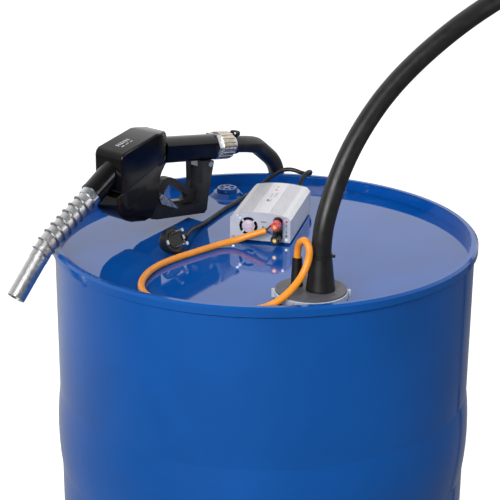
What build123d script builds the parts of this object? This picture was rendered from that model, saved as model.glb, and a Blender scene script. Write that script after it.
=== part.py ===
from build123d import *

import os
from math import cos, pi, radians, sin, tan

os.makedirs("parts", exist_ok=True)

# All sizes are millimetres. The origin is the middle of the drum's foot, +Z is up, the pump stands at -Y.

# ---------------------------------------------------------------- driving dimensions
DRUM_HEIGHT = 880
CHIME_R = 292.5
CHIME_BORE_R = 283.3
CHIME_TALL = 12
BODY_R = 288
SHEET = 1.2
HEAD_Z = 864
HOOP_CENTRES = (276, 604)
HOOP_HALF = 58
HOOP_BULGE = 4

VENT = (-58.5, 222)
VENT_BORE_R = 12.8
VENT_TOP_Z = 870

BUNG = (58, -223)
BUNG_BORE_R = 28.8
BUNG_TOP_Z = 867.5
ADAPTER_R = 45.8
RISER = (69.5, -225)
RISER_R = 12.5
RISER_BORE_R = 9.5
BOOT_Z = 880
BOOT_TOP_Z = 927.5
CABLE_AT = (40.5, -212)
CABLE_R = 4.5
CABLE_BOOT_TOP_Z = 917
PUMP_R = 27
PUMP_WALL = 2
IMPELLER_R = 20

HOSE_R = 12.5
HOSE_BORE_R = 9.5
MAINS_R = 3.25
CORE_R = 1.1

PSU_CORNER = (-48.2, 4.9, 867)
PSU_TURN = -11.99
PSU_WIDE = 85
PSU_LONG = 149.3
PSU_TALL = 40.5
PSU_PLATE = 1.5
FAN_AT = (26, 20)
POST_U = 67.5
POST_HEIGHTS = {"red_knob": 28.5, "black_knob": 9}
STUD_R = 2.5
GLAND_AT = (60, 19)

NOZZLE_AT = (-278.2, -90.4, 862.6)
NOZZLE_TURN = 49.5
HANDLE_DROP = 8.53
HANDLE_START = (225, 112)
SPOUT_R = 12.5
SPOUT_BORE_R = 10.5
SPOUT_TIP_R = 12.1
SPOUT_TIP_LONG = 58
SPOUT_POINTS = ((100, 98), (-12, 30), (-69, -31))
TRIGGER_PIVOT = (190, 44)
TRIGGER_PIN_R = 2.5
RIVET_AT = (286, 79.5)
LATCH_PIVOT = (185, 51.5)
STEM_Z = 62
STEM_R = 3

PLUG_FACE = (-120, -57, 885)
PLUG_PINS = (0.70, -0.55, 0.454)
PLUG_EXIT = (0.617, 0.787, 0)

RUNNING = 0.06  # radial clearance of a running fit

# ---------------------------------------------------------------- routes of the flexible lines
HOSE_ROUTE = (
    (69.5, -225, 927.5), (69.5, -225.2, 950), (77, -219, 985), (92, -207, 1030), (116, -188, 1075),
    (150, -167, 1120), (195, -150, 1163), (250, -130, 1204), (320, -95, 1240), (383, -52, 1247),
    (432, 5, 1228), (462, 60, 1180), (476, 100, 1110), (482, 125, 1020), (486, 143, 880),
    (484, 155, 660), (480, 163, 420), (474, 172, 230), (472, 174, 137), (462, 216, 58),
    (441, 292, 12.8), (405, 375, 12.5), (345, 450, 12.5), (260, 510, 12.5), (155, 550, 12.5),
    (40, 562, 12.5), (-70, 553, 12.5), (-150, 520, 12.5), (-202, 468, 12.5), (-218, 408, 12.5),
    (-197, 357, 12.5), (-150, 331, 12.5), (-92, 323, 12.9), (-25, 320, 58), (18, 320, 137),
    (20, 321, 240), (21, 322, 420), (20.5, 322, 600), (20, 320, 740),
    (18.5, 329, 835), (17.5, 303, 892), (-8.4, 248, 930.5), (-19.5, 212.5, 948.6), (-54.4, 171.7, 956.6),
)
PUMP_CABLE_ROUTE = (
    (2, -22, 888), (-20, -19, 880), (-38, -16, 872), (-60, -24, 868.6), (-90, -55, 868.6),
    (-124, -90, 868.6), (-147, -127, 868.6), (-157, -172, 868.6), (-153, -210, 868.6),
    (-136, -239, 868.6), (-105, -256, 868.6), (-65, -264, 868.6), (-28, -268, 868.6),
    (-2, -267, 869.2), (16, -264, 877), (32, -257, 889), (46, -246, 904), (53.5, -239, 921),
    (55, -237, 936), (50, -231, 946), (43.5, -220, 940), (40.7, -212.4, 928), (40.5, -212, 917),
)
MAINS_ROUTE = (
    (45.65, 158.1, 886), (47.9, 168.5, 888.5), (54, 180, 900.5), (61.6, 192, 909.2), (68.7, 207, 907),
    (67, 222, 897.5), (56.2, 234, 896.1), (39.8, 240, 901.1), (21.9, 240, 898.4), (4.3, 233, 885.6),
    (-15.1, 216, 873.7), (-36, 185, 867.4), (-56, 148, 867.5), (-72, 108, 867.4), (-86, 70, 867.4),
    (-98, 40, 870), (-105, 8, 876), (-108, -24, 879.4),
)

# ---------------------------------------------------------------- planes and small helpers
BASE = (Align.CENTER, Align.CENTER, Align.MIN)

psu_across = Vector(1, 0, 0).rotate(Axis.Z, PSU_TURN)
psu_back = Vector(0, 1, 0).rotate(Axis.Z, PSU_TURN)
psu_plane = Plane(origin=PSU_CORNER, x_dir=psu_across, z_dir=-psu_back)

nozzle_along = Vector(1, 0, 0).rotate(Axis.Z, NOZZLE_TURN)
nozzle_near = Vector(0, -1, 0).rotate(Axis.Z, NOZZLE_TURN)
nozzle_side = Plane(origin=NOZZLE_AT, x_dir=nozzle_along, z_dir=nozzle_near)

plug_plane = Plane(origin=PLUG_FACE, x_dir=PLUG_EXIT, z_dir=PLUG_PINS)


def on_nozzle(a, z, n=0):
    """World point of the nozzle's own length, height and sideways reach."""
    return nozzle_side.from_local_coords(Vector(a, z, n))


def on_psu(u, v, z):
    """World point of the supply's own width, depth and height."""
    return Vector(*PSU_CORNER) + psu_across * u + psu_back * v + Vector(0, 0, z)


handle_line = nozzle_side.from_local_coords(
    Vector(cos(radians(HANDLE_DROP)), -sin(radians(HANDLE_DROP)), 0)
) - nozzle_side.from_local_coords(Vector(0, 0, 0))
handle_plane = Plane(origin=on_nozzle(*HANDLE_START), x_dir=nozzle_near, z_dir=handle_line)
spout_line = (on_nozzle(*SPOUT_POINTS[1]) - on_nozzle(*SPOUT_POINTS[0])).normalized()
spout_plane = Plane(origin=on_nozzle(*SPOUT_POINTS[0]), x_dir=nozzle_near, z_dir=spout_line)


def keep(piece, label):
    """Names a finished piece and writes it."""
    piece.part.label = label
    export_step(piece.part, f"parts/{label}.step")


def upright(spot, height):
    """A level plane over a spot."""
    return Plane(origin=(spot[0], spot[1], height))


def disc(plane, radius, length, bore=0):
    """A straight round piece standing on a plane, with an optional bore."""
    with Locations(plane):
        Cylinder(radius, length, align=BASE)
        if bore:
            Cylinder(bore, length, align=BASE, mode=Mode.SUBTRACT)


def taper(plane, foot, top, length, mode=Mode.ADD):
    """A cone frustum standing on a plane."""
    with Locations(plane):
        Cone(foot, top, length, align=BASE, mode=mode)


def drill(plane, radius, length):
    """A round hole that starts at a plane."""
    with Locations(plane):
        Cylinder(radius, length, align=BASE, mode=Mode.SUBTRACT)


def corner_radii(route):
    """For each corner, 0.45 of its shorter run over the tangent of half its turn."""
    radii = []
    for before, corner, after in zip(route, route[1:], route[2:]):
        arriving = Vector(*corner) - Vector(*before)
        leaving = Vector(*after) - Vector(*corner)
        half_turn = radians(arriving.get_angle(leaving)) / 2
        radii.append(0.45 * min(arriving.length, leaving.length) / tan(half_turn))
    return radii


def report_line(label, piece, line, area, route):
    """Prints a flexible line's length, its tightest arcs and how its volume agrees with its section."""
    radii = sorted(corner_radii(route))
    length = line.wire().length
    share = piece.part.volume / (area * length)
    print(label, "length", round(length), "radii", [round(r) for r in radii], "volume share", round(share, 4))


# ---------------------------------------------------------------- drum
def drum_wall(radius, low, high):
    """One side of the drum's wall from bottom to top, bulged at its two rolling hoops."""
    below = (radius, low)
    for centre in HOOP_CENTRES:
        foot = (radius, centre - HOOP_HALF)
        top = (radius, centre + HOOP_HALF)
        Line(below, foot)
        ThreePointArc(foot, (radius + HOOP_BULGE, centre), top)
        below = top
    Line(below, (radius, high))


with BuildPart() as drum_shell:
    with BuildSketch(Plane.XZ) as shell_profile:
        with BuildLine():
            drum_wall(BODY_R, CHIME_TALL + 3, DRUM_HEIGHT - CHIME_TALL - 3)
            Polyline(
                (BODY_R, DRUM_HEIGHT - CHIME_TALL - 3),
                (CHIME_R, DRUM_HEIGHT - CHIME_TALL),
                (CHIME_R, DRUM_HEIGHT - 3),
                (CHIME_R - 3, DRUM_HEIGHT),
                (CHIME_BORE_R, DRUM_HEIGHT),
                (CHIME_BORE_R, DRUM_HEIGHT - CHIME_TALL - 1),
                (BODY_R - SHEET, DRUM_HEIGHT - CHIME_TALL - 6),
            )
            drum_wall(BODY_R - SHEET, CHIME_TALL + 6, DRUM_HEIGHT - CHIME_TALL - 6)
            Polyline(
                (BODY_R - SHEET, CHIME_TALL + 6),
                (CHIME_BORE_R, CHIME_TALL + 1),
                (CHIME_BORE_R, 0),
                (CHIME_R - 3, 0),
                (CHIME_R, 3),
                (CHIME_R, CHIME_TALL),
                (BODY_R, CHIME_TALL + 3),
            )
        make_face()
    revolve(axis=Axis.Z)
keep(drum_shell, "drum_shell")

with BuildPart() as drum_head:
    disc(Plane.XY.offset(HEAD_Z - SHEET), CHIME_BORE_R, DRUM_HEIGHT - 2.5 - HEAD_Z + SHEET)
    drill(Plane.XY.offset(HEAD_Z), CHIME_BORE_R - SHEET, DRUM_HEIGHT - HEAD_Z)
    drill(upright(VENT, HEAD_Z - 2), 17, 4)
    drill(upright(BUNG, HEAD_Z - 2), 33, 4)
keep(drum_head, "drum_head")

with BuildPart() as drum_bottom:
    disc(Plane.XY.offset(2.5), CHIME_BORE_R, 12.7)
    drill(Plane.XY.offset(2.5), CHIME_BORE_R - SHEET, 12.7 - SHEET)
keep(drum_bottom, "drum_bottom")

with BuildPart() as vent_bung_flange:
    taper(upright(VENT, HEAD_Z), 28, 20, VENT_TOP_Z - HEAD_Z)
    disc(upright(VENT, HEAD_Z - 14), 17, 14)
    drill(upright(VENT, HEAD_Z - 14), VENT_BORE_R, 20)
keep(vent_bung_flange, "vent_bung_flange")

with BuildPart() as vent_gasket:
    disc(upright(VENT, VENT_TOP_Z), 15, 1, VENT_BORE_R + 0.1)
keep(vent_gasket, "vent_gasket")

with BuildPart() as vent_plug:
    disc(upright(VENT, 853), VENT_BORE_R - RUNNING, 18)
    disc(upright(VENT, VENT_TOP_Z + 1), 15.5, 5)
    chamfer(vent_plug.faces().sort_by(Axis.Z)[-1].edges(), 1)
    with BuildSketch(upright(VENT, VENT_TOP_Z + 6)):
        Circle(11.5)
        with PolarLocations(0, 3):
            Rectangle(24, 3, mode=Mode.SUBTRACT)
        Circle(4, mode=Mode.SUBTRACT)
    extrude(amount=-3.5, mode=Mode.SUBTRACT)
keep(vent_plug, "vent_plug")

# ---------------------------------------------------------------- pump adapter on the big bung
with BuildPart() as pump_bung_flange:
    taper(upright(BUNG, HEAD_Z), 42, 38, BUNG_TOP_Z - HEAD_Z)
    disc(upright(BUNG, HEAD_Z - 16), 33, 16)
    drill(upright(BUNG, HEAD_Z - 16), BUNG_BORE_R, 20)
keep(pump_bung_flange, "pump_bung_flange")

with BuildPart() as adapter_gasket:
    disc(upright(BUNG, BUNG_TOP_Z), ADAPTER_R + 0.2, 2, 29.5)
keep(adapter_gasket, "adapter_gasket")

with BuildPart() as adapter_flange:
    disc(upright(BUNG, BUNG_TOP_Z + 2), ADAPTER_R, 8.5)
    chamfer(adapter_flange.faces().sort_by(Axis.Z)[-1].edges(), 0.8)
    disc(upright(BUNG, 845), BUNG_BORE_R - RUNNING, BUNG_TOP_Z + 2 - 845)
    for side in (-1, 1):
        with Locations((BUNG[0] + side * (ADAPTER_R + 1), BUNG[1], BUNG_TOP_Z + 2)):
            Box(4, 7, 9, align=BASE)
    drill(upright(RISER, 845), RISER_R, 34)
    drill(upright(CABLE_AT, 845), CABLE_R, 34)
keep(adapter_flange, "adapter_flange")

with BuildPart() as adapter_disc:
    disc(upright(BUNG, 878), ADAPTER_R - 1.2, 2)
    drill(upright(RISER, 878), RISER_R, 2)
    drill(upright(CABLE_AT, 878), CABLE_R, 2)
keep(adapter_disc, "adapter_disc")

with BuildPart() as hose_boot:
    disc(upright(RISER, BOOT_Z), 18.4, 3)
    taper(upright(RISER, BOOT_Z + 3), 18, 13.5, 38)
    disc(upright(RISER, BOOT_Z + 41), 13.5, BOOT_TOP_Z - BOOT_Z - 41)
    drill(upright(RISER, BOOT_Z), RISER_BORE_R, BOOT_TOP_Z - BOOT_Z)
keep(hose_boot, "hose_boot")

with BuildPart() as cable_boot:
    taper(upright(CABLE_AT, BOOT_Z), 7.7, 6.3, CABLE_BOOT_TOP_Z - BOOT_Z)
    drill(upright(CABLE_AT, BOOT_Z), CABLE_R, CABLE_BOOT_TOP_Z - BOOT_Z)
keep(cable_boot, "cable_boot")

TIE_HEIGHTS = (300, 500, 700)
pair_reach = Vector(CABLE_AT[0] - RISER[0], CABLE_AT[1] - RISER[1], 0)
tie_reach = pair_reach.length + CABLE_R - RISER_R
tie_centre = Vector(*RISER, 0) + pair_reach.normalized() * (tie_reach / 2)

with BuildPart() as cable_ties:
    for height in TIE_HEIGHTS:
        with BuildSketch(Plane(origin=(tie_centre.X, tie_centre.Y, height), x_dir=pair_reach)):
            SlotCenterToCenter(tie_reach, 2 * RISER_R + 3)
            SlotCenterToCenter(tie_reach, 2 * RISER_R + 0.1, mode=Mode.SUBTRACT)
        extrude(amount=4.8)
    disc(upright(RISER, 922.6), 14.4, 1.8, 13.55)
    with Locations((RISER[0] + 15.6, RISER[1], 921.8)):
        Box(3, 3.6, 3.4, align=BASE)
keep(cable_ties, "cable_ties")

# ---------------------------------------------------------------- submersible pump inside the drum
with BuildPart() as riser_pipe:
    disc(upright(RISER, 226), RISER_R, BOOT_Z - 226, RISER_BORE_R)
keep(riser_pipe, "riser_pipe")

with BuildPart() as inner_cable:
    disc(upright(CABLE_AT, 218), CABLE_R, CABLE_BOOT_TOP_Z - 218)
keep(inner_cable, "inner_cable")

with BuildPart() as pump_head:
    disc(upright(BUNG, 205), PUMP_R, 21)
    chamfer(pump_head.faces().sort_by(Axis.Z)[-1].edges(), 2)
    disc(upright(BUNG, 200), PUMP_R - PUMP_WALL, 5)
    disc(upright(RISER, 226), RISER_BORE_R - 0.02, 24)
    drill(upright(BUNG, 200), 11, 7)
    drill(upright(RISER, 214), 6.5, 36)
    drill(upright((BUNG[0] + 15, BUNG[1]), 200), 3, 18)
    drill(upright(CABLE_AT, 218), CABLE_R, 8)
keep(pump_head, "pump_head")

with BuildPart() as pump_casing:
    disc(upright(BUNG, 78), PUMP_R, 127, PUMP_R - PUMP_WALL)
keep(pump_casing, "pump_casing")

with BuildPart() as motor_stator:
    with BuildSketch(upright(BUNG, 95)):
        Circle(PUMP_R - PUMP_WALL)
        Circle(15, mode=Mode.SUBTRACT)
        with PolarLocations(23, 6):
            Circle(3, mode=Mode.SUBTRACT)
    extrude(amount=90)
keep(motor_stator, "motor_stator")

with BuildPart() as motor_rotor:
    disc(upright(BUNG, 49), 4, 157)
    disc(upright(BUNG, 100), 14.6, 80)
keep(motor_rotor, "motor_rotor")

with BuildPart() as shaft_bearings:
    for height in (71, 200):
        disc(upright(BUNG, height), 11, 7, 4.05)
keep(shaft_bearings, "shaft_bearings")

with BuildPart() as impeller:
    disc(upright(BUNG, 50), 6.5, 12)
    disc(upright(BUNG, 60), IMPELLER_R, 2)
    with BuildSketch(upright(BUNG, 50)):
        with PolarLocations(0, 6):
            with Locations(Location((12.5, 0, 0), 25)):
                Rectangle(14, 2)
    extrude(amount=10)
    drill(upright(BUNG, 49), 4, 14)
keep(impeller, "impeller")

with BuildPart() as volute_plate:
    disc(upright(BUNG, 44), PUMP_R, 34)
    drill(upright(BUNG, 48), 21.5, 16)
    drill(upright(BUNG, 44), 9, 4)
    drill(upright(BUNG, 64), 4.6, 7)
    drill(upright(BUNG, 71), 11, 7)
    with BuildSketch(upright(BUNG, 64)):
        with PolarLocations(17.5, 3):
            Circle(3.2)
    extrude(amount=14, mode=Mode.SUBTRACT)
keep(volute_plate, "volute_plate")

with BuildPart() as pump_strainer:
    disc(upright(BUNG, 17), PUMP_R, 27)
    drill(upright(BUNG, 19), PUMP_R - PUMP_WALL, 25)
    with Locations((BUNG[0], BUNG[1], 31)):
        for turn in range(0, 180, 30):
            Box(2 * PUMP_R + 4, 5, 16, rotation=(0, 0, turn), mode=Mode.SUBTRACT)
keep(pump_strainer, "pump_strainer")


# ---------------------------------------------------------------- hose, pump cable and mains cord
def line_plane(line):
    """The plane square to the start of a path."""
    return Plane(origin=line @ 0, z_dir=line % 0)


with BuildPart() as discharge_hose:
    with BuildLine() as hose_line:
        FilletPolyline(*HOSE_ROUTE, radius=corner_radii(HOSE_ROUTE))
    with BuildSketch(line_plane(hose_line.line)):
        Circle(HOSE_R)
        Circle(HOSE_BORE_R, mode=Mode.SUBTRACT)
    sweep()
keep(discharge_hose, "discharge_hose")
report_line("hose", discharge_hose, hose_line, pi * (HOSE_R**2 - HOSE_BORE_R**2), HOSE_ROUTE)

with BuildPart() as pump_cable:
    with BuildLine() as cable_line:
        FilletPolyline(*PUMP_CABLE_ROUTE, radius=corner_radii(PUMP_CABLE_ROUTE))
    with BuildSketch(line_plane(cable_line.line)):
        Circle(CABLE_R)
    sweep()
keep(pump_cable, "pump_cable")
report_line("pump cable", pump_cable, cable_line, pi * CABLE_R**2, PUMP_CABLE_ROUTE)

with BuildPart() as mains_cord:
    with BuildLine() as mains_line:
        FilletPolyline(*MAINS_ROUTE, radius=corner_radii(MAINS_ROUTE))
    with BuildSketch(line_plane(mains_line.line)):
        Circle(MAINS_R)
    sweep()
keep(mains_cord, "mains_cord")
report_line("mains cord", mains_cord, mains_line, pi * MAINS_R**2, MAINS_ROUTE)

# ---------------------------------------------------------------- hose tail and swivel of the nozzle
CLAMP_AT = 123.6
HANDLE_END = 80
HEX_LONG = 9

with BuildPart() as hose_clamp:
    disc(handle_plane.offset(CLAMP_AT), HOSE_R + 1.8, 10, HOSE_R)
    with BuildSketch(handle_plane.offset(CLAMP_AT + 1.5)):
        with Locations((3, -HOSE_R - 5)):
            SlotOverall(14, 8)
            SlotOverall(9, 3.5, mode=Mode.SUBTRACT)
    extrude(amount=7)
keep(hose_clamp, "hose_clamp")

with BuildPart() as hose_tail:
    disc(handle_plane.offset(97), 12, 18.3)
    disc(handle_plane.offset(115.3), 16.3, 6.7)
    disc(handle_plane.offset(122), 9.4, 19)
    drill(handle_plane.offset(97), 7.5, 44)
keep(hose_tail, "hose_tail")

with BuildPart() as swivel_nut:
    with BuildSketch(handle_plane.offset(HANDLE_END + HEX_LONG)):
        Circle(20.5)
        with PolarLocations(21, 20):
            Circle(1.5, mode=Mode.SUBTRACT)
    extrude(amount=26)
    drill(handle_plane.offset(HANDLE_END + HEX_LONG), 8, 12)
    drill(handle_plane.offset(96), 12 + RUNNING, 19)
keep(swivel_nut, "swivel_nut")

with BuildPart() as inlet_hex:
    with BuildSketch(handle_plane.offset(HANDLE_END)):
        RegularPolygon(17.75, 6, major_radius=False)
        Circle(8, mode=Mode.SUBTRACT)
    extrude(amount=HEX_LONG)
keep(inlet_hex, "inlet_hex")

# ---------------------------------------------------------------- nozzle
HANDLE_HALF_TALL = 17.5
HANDLE_HALF_WIDE = 16.5
HANDLE_EDGE = 7
HANDLE_START_BACK = 26

with BuildPart() as handle_grip:
    with BuildSketch(handle_plane.offset(-HANDLE_START_BACK)):
        with BuildLine():
            Polyline(
                (-HANDLE_HALF_WIDE, -HANDLE_EDGE),
                (-HANDLE_HALF_WIDE, HANDLE_HALF_TALL - 4),
                (4 - HANDLE_HALF_WIDE, HANDLE_HALF_TALL),
                (HANDLE_HALF_WIDE - 4, HANDLE_HALF_TALL),
                (HANDLE_HALF_WIDE, HANDLE_HALF_TALL - 4),
                (HANDLE_HALF_WIDE, -HANDLE_EDGE),
            )
            ThreePointArc(
                (HANDLE_HALF_WIDE, -HANDLE_EDGE), (0, -HANDLE_HALF_TALL), (-HANDLE_HALF_WIDE, -HANDLE_EDGE),
            )
        make_face()
    extrude(amount=HANDLE_START_BACK + HANDLE_END)
    drill(handle_plane.offset(-HANDLE_START_BACK), 10, HANDLE_START_BACK + HANDLE_END)
keep(handle_grip, "handle_grip")

LUG_HALF = 6.8
LUG_REACH = (270, 291)
LUG_FEET = (78, 71)


def handle_underside(reach):
    """Height of the handle's underside at a place along the nozzle."""
    fall = (reach - HANDLE_START[0]) * tan(radians(HANDLE_DROP))
    return HANDLE_START[1] - fall - HANDLE_HALF_TALL / cos(radians(HANDLE_DROP))


with BuildPart() as guard_lug:
    with BuildSketch(nozzle_side.offset(-LUG_HALF)):
        with BuildLine():
            Polyline(
                (LUG_REACH[0], LUG_FEET[0]),
                (LUG_REACH[1], LUG_FEET[1]),
                (LUG_REACH[1], handle_underside(LUG_REACH[1])),
                (LUG_REACH[0], handle_underside(LUG_REACH[0])),
                close=True,
            )
        make_face()
    extrude(amount=2 * LUG_HALF)
    drill(Plane(origin=on_nozzle(*RIVET_AT, -8), z_dir=nozzle_near), TRIGGER_PIN_R, 16)
keep(guard_lug, "guard_lug")

BODY_OUTLINE = (
    (96, 72), (97, 54), (105, 41), (120, 32), (149, 27), (160, 29), (178, 51), (179.5, 86), (187, 98),
    (196.6, 98.2), (198.7, 112.7),
)
COVER_OUTLINE = (
    (101, 75), (101, 127), (107, 134), (168, 148.3), (190, 147.2), (198, 143), (202.3, 136), (199, 113.9),
)
BODY_HALF = 21
COVER_HALF = 27
COVER_FRONT = 100.9
FLANK_END = 176
FLANK_TURN = 61


def flank_cut(side):
    """Upright plane that narrows the rear of the body and cover towards the handle."""
    facing = nozzle_along * cos(radians(FLANK_TURN)) + nozzle_near * (side * sin(radians(FLANK_TURN)))
    return Plane(origin=on_nozzle(FLANK_END, 0, side * COVER_HALF), z_dir=facing)


with BuildPart() as nozzle_body:
    with BuildSketch(nozzle_side.offset(-BODY_HALF)):
        with BuildLine():
            Polyline(*BODY_OUTLINE, close=True)
        make_face()
    extrude(amount=2 * BODY_HALF)
    side_faces = nozzle_body.faces().filter_by(Plane(origin=(0, 0, 0), z_dir=nozzle_near))
    chamfer(side_faces.edges().filter_by(lambda edge: (edge @ 0.5).Z < NOZZLE_AT[2] + 60), 3)
    for side in (-1, 1):
        split(bisect_by=flank_cut(side), keep=Keep.BOTTOM)
    drill(Plane(origin=on_nozzle(143, STEM_Z), z_dir=nozzle_along), STEM_R + RUNNING, 60)
keep(nozzle_body, "nozzle_body")

with BuildPart() as nozzle_cover:
    with BuildSketch(nozzle_side.offset(-COVER_HALF)):
        with BuildLine():
            Polyline(*COVER_OUTLINE, close=True)
        make_face()
    extrude(amount=2 * COVER_HALF)
    side_faces = nozzle_cover.faces().filter_by(Plane(origin=(0, 0, 0), z_dir=nozzle_near))
    chamfer(side_faces.edges(), 4)
    for side in (-1, 1):
        split(bisect_by=flank_cut(side), keep=Keep.BOTTOM)
keep(nozzle_cover, "nozzle_cover")

COLLAR_START = 37
COLLAR_END = 46

with BuildPart() as nozzle_nose:
    taper(spout_plane.offset(-12), 16.8, 16, COLLAR_START + 8)
    disc(spout_plane.offset(COLLAR_START - 4), 16.5, 4)
    drill(spout_plane.offset(-14), SPOUT_R, COLLAR_START + 16)
    split(bisect_by=Plane(origin=on_nozzle(COVER_FRONT, 0), z_dir=nozzle_along), keep=Keep.BOTTOM)
keep(nozzle_nose, "nozzle_nose")

with BuildPart() as spout_collar:
    taper(spout_plane.offset(COLLAR_START), 14.9, 13.6, COLLAR_END - COLLAR_START)
    drill(spout_plane.offset(COLLAR_START), SPOUT_R, COLLAR_END - COLLAR_START)
keep(spout_collar, "spout_collar")

TUBE_START = 8
SPOUT_BEND_R = 60

with BuildPart() as spout_tube:
    with BuildLine() as tube_line:
        FilletPolyline(
            spout_plane.offset(TUBE_START).origin,
            on_nozzle(*SPOUT_POINTS[1]),
            on_nozzle(*SPOUT_POINTS[2]),
            radius=SPOUT_BEND_R,
        )
    with BuildSketch(line_plane(tube_line.line)):
        Circle(SPOUT_R)
        Circle(SPOUT_BORE_R, mode=Mode.SUBTRACT)
    sweep()
    spout_axis = tube_line.wire()
    with BuildSketch(Plane(origin=spout_axis @ 1, z_dir=-(spout_axis % 1))):
        Circle(SPOUT_R + 1)
        Circle(SPOUT_TIP_R, mode=Mode.SUBTRACT)
    extrude(amount=SPOUT_TIP_LONG, mode=Mode.SUBTRACT)
keep(spout_tube, "spout_tube")

SPRING_WIRE_R = 1.2
SPRING_MEAN_R = 13.9
SPRING_START = COLLAR_END + 1.5 - TUBE_START
SPRING_LONG = 101
SPRING_TURNS = 8
SPRING_STEPS = 10


def spring_point(step):
    """A point of the spring, wound round the bent spout."""
    share = step / (SPRING_TURNS * SPRING_STEPS)
    along = (SPRING_START + share * SPRING_LONG) / spout_axis.length
    centre = spout_axis @ along
    heading = spout_axis % along
    upward = nozzle_near.cross(heading)
    turn = 2 * pi * step / SPRING_STEPS
    return centre + nozzle_near * (SPRING_MEAN_R * cos(turn)) + upward * (SPRING_MEAN_R * sin(turn))


with BuildPart() as spout_spring:
    with BuildLine() as spring_line:
        Spline(*[spring_point(step) for step in range(SPRING_TURNS * SPRING_STEPS + 1)])
    with BuildSketch(line_plane(spring_line.line)):
        Circle(SPRING_WIRE_R)
    sweep(is_frenet=True)
keep(spout_spring, "spout_spring")

GUARD_OUTLINE = (
    (160, 29), (166, 24.5), (176, 21.5), (274, 8.5), (279, 13), (282, 31), (290, 65), (294, 81),
    (293.5, 83.6), (269.2, 87.2), (270, 53.5), (264.6, 30.9), (256, 25.1), (217, 30.3), (191.2, 35.9),
    (190, 44), (184, 51), (178, 51),
)
GUARD_HALF = 16.5
GUARD_SLOT_HALF = 7
FRONT_SLOT = ((181.5, 62), (181.5, 38), (192, 32.5), (214, 28.5), (214, 62))
REAR_SLOT = ((255, 21), (284, 21), (300, 93), (262, 93))

with BuildPart() as trigger_guard:
    with BuildSketch(nozzle_side.offset(-GUARD_HALF)):
        with BuildLine():
            Polyline(*GUARD_OUTLINE, close=True)
        make_face()
        with Locations(TRIGGER_PIVOT):
            Circle(6.5)
        with Locations(LATCH_PIVOT):
            Circle(6)
    extrude(amount=2 * GUARD_HALF)
    for outline in (FRONT_SLOT, REAR_SLOT):
        with BuildSketch(nozzle_side.offset(-GUARD_SLOT_HALF)):
            with BuildLine():
                Polyline(*outline, close=True)
            make_face()
        extrude(amount=2 * GUARD_SLOT_HALF, mode=Mode.SUBTRACT)
    for spot in (TRIGGER_PIVOT, RIVET_AT):
        drill(Plane(origin=on_nozzle(*spot, -20), z_dir=nozzle_near), TRIGGER_PIN_R, 40)
    drill(Plane(origin=on_nozzle(*LATCH_PIVOT, GUARD_SLOT_HALF), z_dir=nozzle_near), 2, 20)
keep(trigger_guard, "trigger_guard")

LATCH_GAP = 0.4
LATCH_THICK = 1.9
LATCH_TOP = GUARD_HALF + LATCH_GAP + LATCH_THICK

with BuildPart() as nozzle_pins:
    for spot in (TRIGGER_PIVOT, RIVET_AT):
        pin_plane = Plane(origin=on_nozzle(*spot), z_dir=nozzle_near)
        disc(pin_plane.offset(-GUARD_HALF), TRIGGER_PIN_R, 2 * GUARD_HALF)
        disc(pin_plane.offset(-GUARD_HALF - 1.4), 4, 1.4)
    disc(Plane(origin=on_nozzle(*RIVET_AT, GUARD_HALF), z_dir=nozzle_near), 4, 1.4)
    latch_plane = Plane(origin=on_nozzle(*LATCH_PIVOT), z_dir=nozzle_near)
    disc(latch_plane.offset(GUARD_SLOT_HALF + 0.2), 2, LATCH_TOP - GUARD_SLOT_HALF)
    disc(latch_plane.offset(LATCH_TOP + 0.2), 3.2, 1.2)
keep(nozzle_pins, "nozzle_pins")

LEVER_OUTLINE = (
    (184.5, 46.5), (186.5, 51), (189.5, 58), (194, 66), (201, 72), (209, 74), (216, 72.5), (224, 69),
    (271, 38), (275, 30), (272, 25.5), (256, 26.5), (218, 31.6), (200, 34.5), (193, 38.5),
)
LEVER_WINDOW = ((205.3, 57.9), (213.6, 63.6), (250, 38.5), (241.5, 33.2), (218.4, 36.4), (200.1, 50.6))
LEVER_HALF = 6

with BuildPart() as trigger_lever:
    with BuildSketch(nozzle_side.offset(-LEVER_HALF)):
        with BuildLine():
            Polyline(*LEVER_OUTLINE, close=True)
        make_face()
        with Locations(TRIGGER_PIVOT):
            Circle(6)
        with BuildLine():
            Polyline(*LEVER_WINDOW, close=True)
        make_face(mode=Mode.SUBTRACT)
        with Locations(TRIGGER_PIVOT):
            Circle(TRIGGER_PIN_R + RUNNING, mode=Mode.SUBTRACT)
    extrude(amount=2 * LEVER_HALF)
keep(trigger_lever, "trigger_lever")

LATCH_OUTLINE = ((180.8, 50), (184, 42.5), (199, 36.2), (213, 30), (218, 29.3), (207, 39), (188, 55))

with BuildPart() as hold_latch:
    with BuildSketch(nozzle_side.offset(GUARD_HALF + LATCH_GAP)):
        with BuildLine():
            Polyline(*LATCH_OUTLINE, close=True)
        make_face()
        with Locations(LATCH_PIVOT):
            Circle(4.7)
            Circle(2 + RUNNING, mode=Mode.SUBTRACT)
    extrude(amount=LATCH_THICK)
keep(hold_latch, "hold_latch")

with BuildPart() as valve_stem:
    disc(Plane(origin=on_nozzle(150, STEM_Z), z_dir=nozzle_along), STEM_R, 38.8)
keep(valve_stem, "valve_stem")

# ---------------------------------------------------------------- power supply on the drum head
SHOULDER = 5
EDGE_TALL = 31
WALL = 2.4
FIN_PITCH = 3
RIB_BANDS = ((12, 30), (55, 73))


def psu_outline(inset=0):
    """The supply's cross-section: flat foot, straight sides, bevelled shoulders and an arched top."""
    low, right = inset, PSU_WIDE - inset
    top = PSU_TALL - inset
    shoulder = PSU_TALL - 4 - inset
    Polyline(
        (inset + SHOULDER, shoulder), (low, EDGE_TALL), (low, low), (right, low), (right, EDGE_TALL),
        (right - SHOULDER, shoulder),
    )
    ThreePointArc((right - SHOULDER, shoulder), (PSU_WIDE / 2, top), (inset + SHOULDER, shoulder))


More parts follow.
